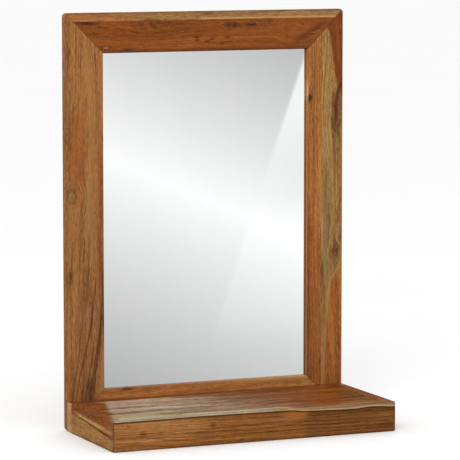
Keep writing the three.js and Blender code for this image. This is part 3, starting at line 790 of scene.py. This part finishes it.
def press_cross(form, head):
    """A tapered cross recess in the cap: the cap is cut along the arms' sides and the arms are pressed in."""
    reach, width = head * CROSS_REACH, head * CROSS_WIDTH
    for direction in ((1, 0, 0), (0, 0, 1)):
        for offset in (-reach, -width, width, reach):
            cap = flat_top(form)
            parts = {*cap, *(e for f in cap for e in f.edges), *(v for f in cap for v in f.verts)}
            place = [offset * d for d in direction]
            bmesh.ops.bisect_plane(form, geom=list(parts), plane_co=place, plane_no=direction)
    cross = [f for f in flat_top(form) if in_cross(f, reach, width)]
    pressed = bmesh.ops.extrude_face_region(form, geom=cross)["geom"]
    floor = [v for v in pressed if isinstance(v, bmesh.types.BMVert)]
    bmesh.ops.scale(form, vec=(CROSS_TAPER, 1, CROSS_TAPER), verts=floor)
    bmesh.ops.translate(form, vec=(0, -head * CROSS_DEPTH, 0), verts=floor)


def cut_thread(form, core, crest, top, bottom, pitch):
    """A helical ridge round the core, from top down to bottom, with its foot sunk in the core."""
    root = core * 0.96
    corners = ((root, top), (crest, top - pitch * 0.25), (root, top - pitch * 0.5))
    points = [form.verts.new((radius, height, 0)) for radius, height in corners]
    lines = [form.edges.new((points[i - 1], points[i])) for i in range(3)]
    turns = (top - bottom) / pitch
    bmesh.ops.spin(form, geom=points + lines, cent=(0, 0, 0), axis=(0, 1, 0), angle=math.tau * turns,
                   dvec=(0, -pitch / THREAD_STEPS, 0), steps=round(THREAD_STEPS * turns))
    bmesh.ops.holes_fill(form, edges=[e for e in form.edges if e.is_boundary])


def wood_screw(node, finish, head, shank, pitch):
    """A countersunk wood screw with a cross recess, as long as its node and in its place."""
    low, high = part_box(node)
    length, core = high.y - low.y, shank * CORE
    rim, cone = head * HEAD_RIM, head * HEAD_CONE
    neck, tip = length * PLAIN_NECK, shank * TIP_LENGTH
    form = turned((
        (head - HEAD_EASE, 0), (head, -HEAD_EASE), (head, -rim), (shank, -rim - cone),
        (shank, -neck), (core, -neck - NECK_STEP), (core, tip - length),
        (core * POINT, POINT_LENGTH - length), (0, -length),
    ))
    press_cross(form, head)
    cut_thread(form, core, shank, -neck - THREAD_START, tip - length + pitch * 0.5, pitch)
    place = ((low.x + high.x) / 2, high.y, (low.z + high.z) / 2)
    bmesh.ops.translate(form, vec=place, verts=form.verts[:])
    finished_piece(f"{node}_crosshead", form, node, finish)


def fit_hardware(zinc, glass, hardboard):
    """The screws, keyhole plates, pane and back panel, each in its node's place."""
    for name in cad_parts:
        if name.startswith("shelf_screw"):
            wood_screw(name, zinc, **SHELF_SCREW)
        elif name.startswith(("panel_screw", "hanger_screw")):
            wood_screw(name, zinc, **SMALL_SCREW)
        elif name.startswith("hanger_plate"):
            eased_piece(name, PLATE_EDGE, zinc)
    eased_piece("mirror_pane", GROUND_EDGE, glass)
    eased_piece("back_panel", PANEL_EDGE, hardboard)


def finish_nodes():
    """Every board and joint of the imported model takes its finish; pieces of their own stand for the rest."""
    beech, zinc, glass, hardboard = raw_beech(), zinc_plate(), silvered_glass(), brown_hardboard()
    finishes = {
        "top_rail": top_rail_wood(),
        "bottom_rail": bottom_rail_wood(),
        "left_stile": left_stile_wood(),
        "right_stile": right_stile_wood(),
        "shelf_front_board": shelf_front_wood(),
        "shelf_left_end": shelf_end_wood("wood_shelf_left_end", LEFT_SIDE, 6),
        "shelf_right_end": shelf_end_wood("wood_shelf_right_end", RIGHT_SIDE, 7),
        "shelf_top_board": shelf_top_wood(),
        "shelf_back_rail": shelf_back_wood(),
        "mirror_pane": glass,
        "back_panel": hardboard,
    }
    for name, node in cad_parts.items():
        inside = name.startswith(("biscuit", "dowel", "shelf_spline"))
        finish = finishes.get(name) or (beech if inside else zinc)
        node.data.materials.clear()
        node.data.materials.append(finish)
    fit_hardware(zinc, glass, hardboard)


# ---------------------------------------------------------------- studio

# The picture's viewpoint, from a fit to the photograph's straight edges.
VIEWPOINT = Vector((-1.55545, -3.59864, 0.70371))
AZIMUTH, ELEVATION = math.radians(-23.378), math.radians(6.367)
FOCAL_PIXELS, PICTURE_PIXELS, SENSOR_WIDTH = 3009.44, 460, 36.0

MIRROR_SHARE = 0.94  # of the light that the silver gives back
DARKEST_GLOW, SCREEN_POWER = 0.3, 2.25  # from levels as a screen shows them to light

# The mirror's shading, in levels of 255 and in millimetres on the pane: it falls off on both sides of a
# slanting ridge, and is lighter again right of a slanting streak's edge.
WHITE_LEVEL, RIDGE_PLACE, RIDGE_SLANT, RIDGE_FALL = 254, 136, 0.42, 0.25
STREAK_PLACE, STREAK_SLANT, STREAK_SOFT = 296, 0.36, 4
UPPER_SHINE, UPPER_FADE = 0.2, (230, 60)
LOWER_SHINE, LOWER_START, LOWER_END = 5.5, (190, 250), (410, 350)

# The floor and the cards, in metres.
FLOOR_RADIUS = 60.0  # so wide that its rim lies behind the picture's top edge
FLOOR_DROP = 0.0002  # below the shelf's foot
CARD_HALF_WIDTH, CARD_FAR, CARD_HEAD = 3.0, -2.0, 0.84  # how far the sloping card reaches
CARD_AHEAD, CARD_BELOW = 0.004, 0.002  # its foot, before the lip and under the shelf's top
SHELF_CARD_LIFT, SIDE_CARD_OFFSET, PANE_CLEARANCE = 0.0008, 0.00005, 0.0001
GAP_DEPTH, GAP_SHARE = 0.0026, 0.02  # the dark gap before the pane, and how much light it gives

GROUND_GLOW, SKY_GLOW = 0.12, 0.91  # the world's light below the horizon, and what is added above it
HORIZON_LOW, HORIZON_HIGH = -0.04, 0.01

KEY_PLACE, KEY_TARGET, KEY_SIZE, KEY_WATTS = (-1.6, -2.2, 2.2), (0, 0, 0.25), 1.6, 30


def studio_floor():
    """A pale disc that reflections don't see."""
    form = bmesh.new()
    bmesh.ops.create_circle(form, cap_ends=True, segments=96, radius=FLOOR_RADIUS)
    finish = Finish("studio_floor")
    x, y, z = finish.place
    cloud = finish.noise(x * 3, y * 3, z, 2.0)
    pale = finish.ramp(cloud, ((0.3, (0.92, 0.92, 0.92, 1)), (0.7, (0.93, 0.93, 0.93, 1))))
    matt = finish.surface(Base_Color=pale, Roughness=0.9, Specular_IOR_Level=0.0)
    floor = built("studio_floor", form, matt)
    floor.location.z = -FLOOR_DROP
    floor.visible_glossy = False


def mirrored_light(finish):
    """How bright a card is at each place: the mirror's shading, as it is laid out on the pane.

    Each place on a card is carried over to the pane along a line from the viewpoint's mirror
    image. The shading is fixed in space and doesn't follow the camera.
    """
    x, y, z = finish.place
    eye_x, eye_y, eye_z = VIEWPOINT.x, 2 * MIRROR_FACE - VIEWPOINT.y, VIEWPOINT.z
    share = (eye_y - MIRROR_FACE) / (eye_y - y)
    across = ((x - eye_x) * share + eye_x - OPENING_LEFT) * MM
    down = (OPENING_HEAD - (z - eye_z) * share - eye_z) * MM
    fall = abs(down - RIDGE_PLACE - across * RIDGE_SLANT)
    streak = (across + down * STREAK_SLANT - STREAK_PLACE).ramped(-STREAK_SOFT, STREAK_SOFT)
    upper = down.ramped(*UPPER_FADE) * fall * UPPER_SHINE
    lower = down.ramped(*LOWER_START) * down.ramped(*LOWER_END) * LOWER_SHINE
    return (WHITE_LEVEL - fall * RIDGE_FALL + streak * (upper + lower)) / 255


def sheet_between(corners):
    """A flat sheet; one that doesn't stand upright has its front up."""
    form = bmesh.new()
    bmesh.ops.contextual_create(form, geom=[form.verts.new(c) for c in corners])
    for face in form.faces:
        face.normal_update()
        if face.normal.z < 0:
            face.normal_flip()
    return form


def reflected_card(name, corners, share=1.0):
    """A card that only reflections show, and only from its front; share is how much of its light it gives."""
    finish = Finish(name)
    card = built(name, sheet_between(corners), finish.material)
    light = mirrored_light(finish).larger(DARKEST_GLOW) ** SCREEN_POWER
    glow = finish.node("ShaderNodeEmission", inputs={"Strength": light * (share / MIRROR_SHARE)})
    behind = finish.node("ShaderNodeNewGeometry", output="Backfacing")
    clear = finish.node("ShaderNodeBsdfTransparent")
    shown = finish.node("ShaderNodeMixShader", inputs={0: behind, 1: glow, 2: clear})
    finish.plug(finish.tree.nodes["Material Output"].inputs["Surface"], shown)
    card.visible_camera = card.visible_diffuse = card.visible_shadow = False
    card.visible_transmission = card.visible_volume_scatter = False


def level_card(name, near, far):
    """A card across the whole width, from a near to a far (y, z)."""
    left, right = -CARD_HALF_WIDTH, CARD_HALF_WIDTH
    reflected_card(name, ((left, *near), (right, *near), (right, *far), (left, *far)))


def side_card(name, front, rear, share):
    """A card against the opening's right side, from one depth to another."""
    side = OPENING_RIGHT - SIDE_CARD_OFFSET
    reflected_card(name, ((side, front, OPENING_FOOT), (side, front, OPENING_HEAD),
                          (side, rear, OPENING_HEAD), (side, rear, OPENING_FOOT)), share)


def studio_cards():
    """One card slopes up before the mirror, one lies over the shelf, two line the opening's right side."""
    foot, gap, over = SHELF_FRONT - CARD_AHEAD, MIRROR_FACE - GAP_DEPTH, SHELF_TOP + SHELF_CARD_LIFT
    level_card("mirror_card", (foot, SHELF_TOP - CARD_BELOW), (CARD_FAR, CARD_HEAD))
    side_card("reveal_card", FRAME_FRONT, gap, 1.0)
    side_card("gap_card", gap, MIRROR_FACE - PANE_CLEARANCE, GAP_SHARE)
    level_card("shelf_card", (foot, over), (FRAME_FRONT, over))


def key_light():
    """A soft lamp in front of the mirror, high at the left."""
    lamp = bpy.data.lights.new("key", "AREA")
    lamp.shape, lamp.size, lamp.size_y, lamp.energy = "RECTANGLE", KEY_SIZE, KEY_SIZE, KEY_WATTS
    light = bpy.data.objects.new("key", lamp)
    light.location = KEY_PLACE
    light.rotation_euler = (Vector(KEY_TARGET) - Vector(KEY_PLACE)).to_track_quat("-Z", "Y").to_euler()
    bpy.context.scene.collection.objects.link(light)


def studio_world():
    """White overhead and all round; reflections that look down through the floor find it dark."""
    world = bpy.data.worlds.new("white_studio")
    world.use_nodes = True
    nodes = NodeTree(world.node_tree, "Generated")
    height = nodes.place[2]
    background = world.node_tree.nodes["Background"]
    above = height.ramped(HORIZON_LOW, HORIZON_HIGH)
    nodes.plug(background.inputs["Strength"], GROUND_GLOW + above * SKY_GLOW)
    nodes.plug(background.inputs["Color"], (1.0, 1.0, 1.0, 1.0))
    bpy.context.scene.world = world
    bpy.context.scene.view_settings.view_transform = "Standard"


def studio_camera():
    """The photograph's view: from the left and a little above, with a long lens."""
    camera = bpy.data.objects.new("camera", bpy.data.cameras.new("camera"))
    camera.data.sensor_width, camera.data.lens = SENSOR_WIDTH, SENSOR_WIDTH * FOCAL_PIXELS / PICTURE_PIXELS
    camera.data.clip_start, camera.data.clip_end = 0.1, 200.0
    camera.location = VIEWPOINT
    level = math.cos(ELEVATION)
    back = Vector((math.sin(AZIMUTH) * level, -math.cos(AZIMUTH) * level, math.sin(ELEVATION)))
    camera.rotation_euler = (-back).to_track_quat("-Z", "Y").to_euler()
    bpy.context.scene.collection.objects.link(camera)
    bpy.context.scene.camera = camera


studio_floor()
studio_world()
studio_camera()
studio_cards()
key_light()
finish_nodes()
